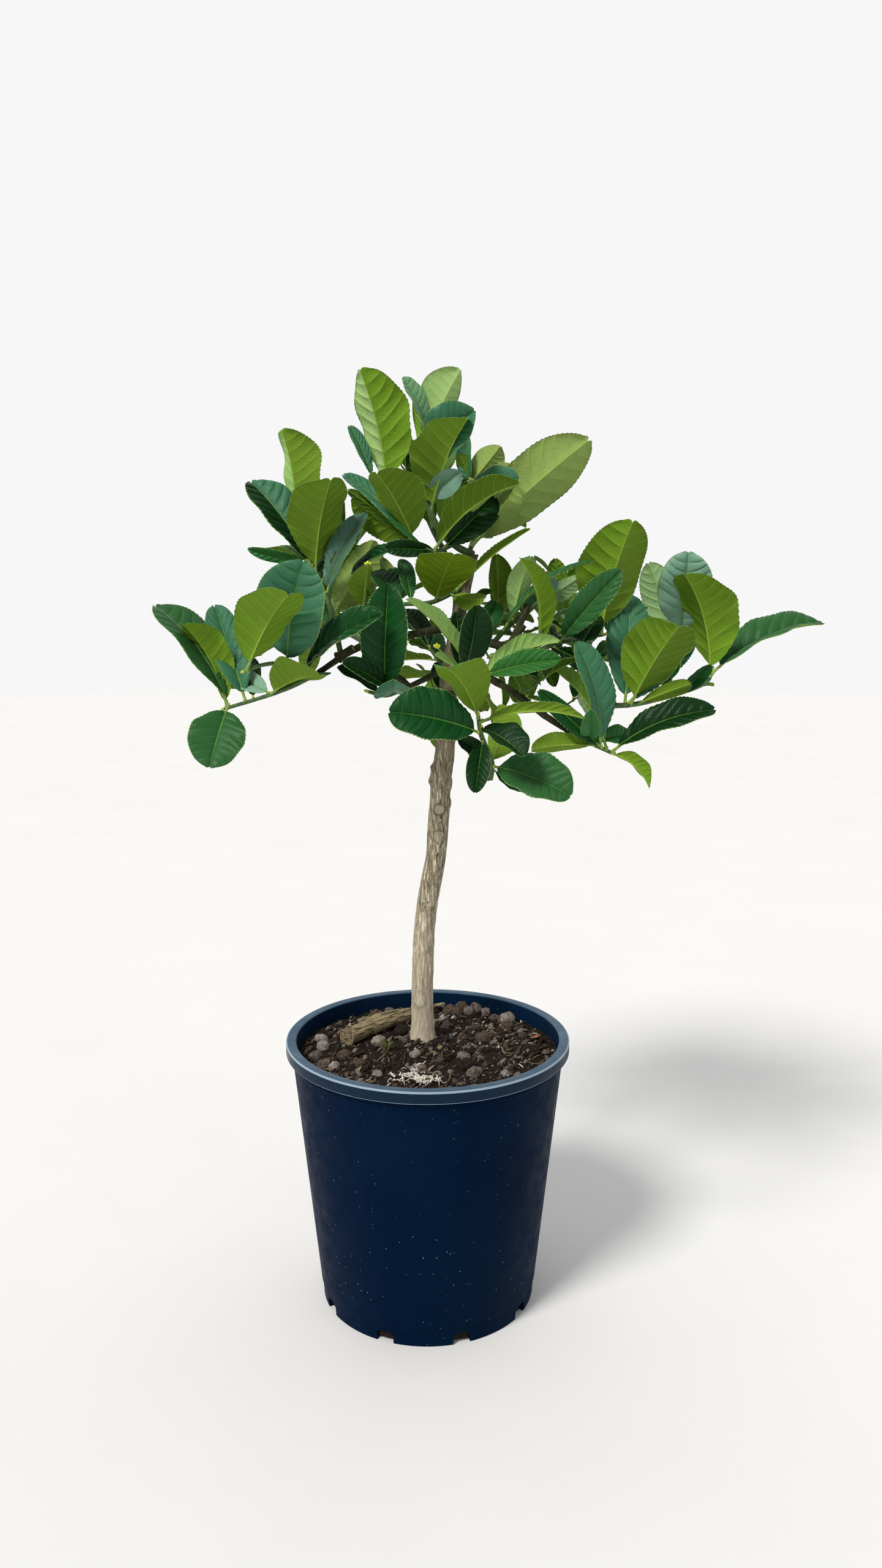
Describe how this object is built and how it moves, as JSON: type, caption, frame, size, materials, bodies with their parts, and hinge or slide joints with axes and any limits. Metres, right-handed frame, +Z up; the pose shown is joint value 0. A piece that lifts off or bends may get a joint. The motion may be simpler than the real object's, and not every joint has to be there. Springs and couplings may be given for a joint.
{
  "type": "potted buddhas hand tree",
  "caption": "Young Buddha's hand citron tree in a round plastic nursery pot: slim bare trunk, spreading boughs and large oval leaves in separate masses",
  "frame": {"origin": "centre of the pot's flat underside, on the ground", "axes": "+Z up, -Y towards the picture's viewer, +X to that viewer's right"},
  "size_m": [0.6876, 0.4691, 0.9717],
  "materials": {
    "pot_plastic": "dark navy moulded plastic, semi-matt, with fine pale dust",
    "soil": "dark brown potting mix with chips of bark and small stones",
    "bark": "grey-beige young bark with pale streaks along it",
    "foliage": "leathery leaves, glossy dark green above and matt yellow-green below"
  },
  "bodies": {
    "root": {"bough_back_left": "bark", "bough_back_right": "bark", "bough_back_top": "bark", "bough_front": "bark", "bough_left": "bark", "bough_left_low": "bark", "bough_right": "bark", "bough_right_low": "bark", "foliage_back": "foliage", "foliage_back_left": "foliage", "foliage_back_right": "foliage", "foliage_back_top": "foliage", "foliage_front_low": "foliage", "foliage_inner_back": "foliage", "foliage_inner_front": "foliage", "foliage_inner_right": "foliage", "foliage_left_back": "foliage", "foliage_left_low": "foliage", "foliage_left_tip": "foliage", "foliage_left_up": "foliage", "foliage_right_back": "foliage", "foliage_right_low": "foliage", "foliage_right_middle": "foliage", "foliage_right_tip": "foliage", "foliage_right_up": "foliage", "foliage_top": "foliage", "foliage_upper_left": "foliage", "pot": "pot_plastic", "soil": "soil", "trunk": "bark"}
  },
  "joints": []
}
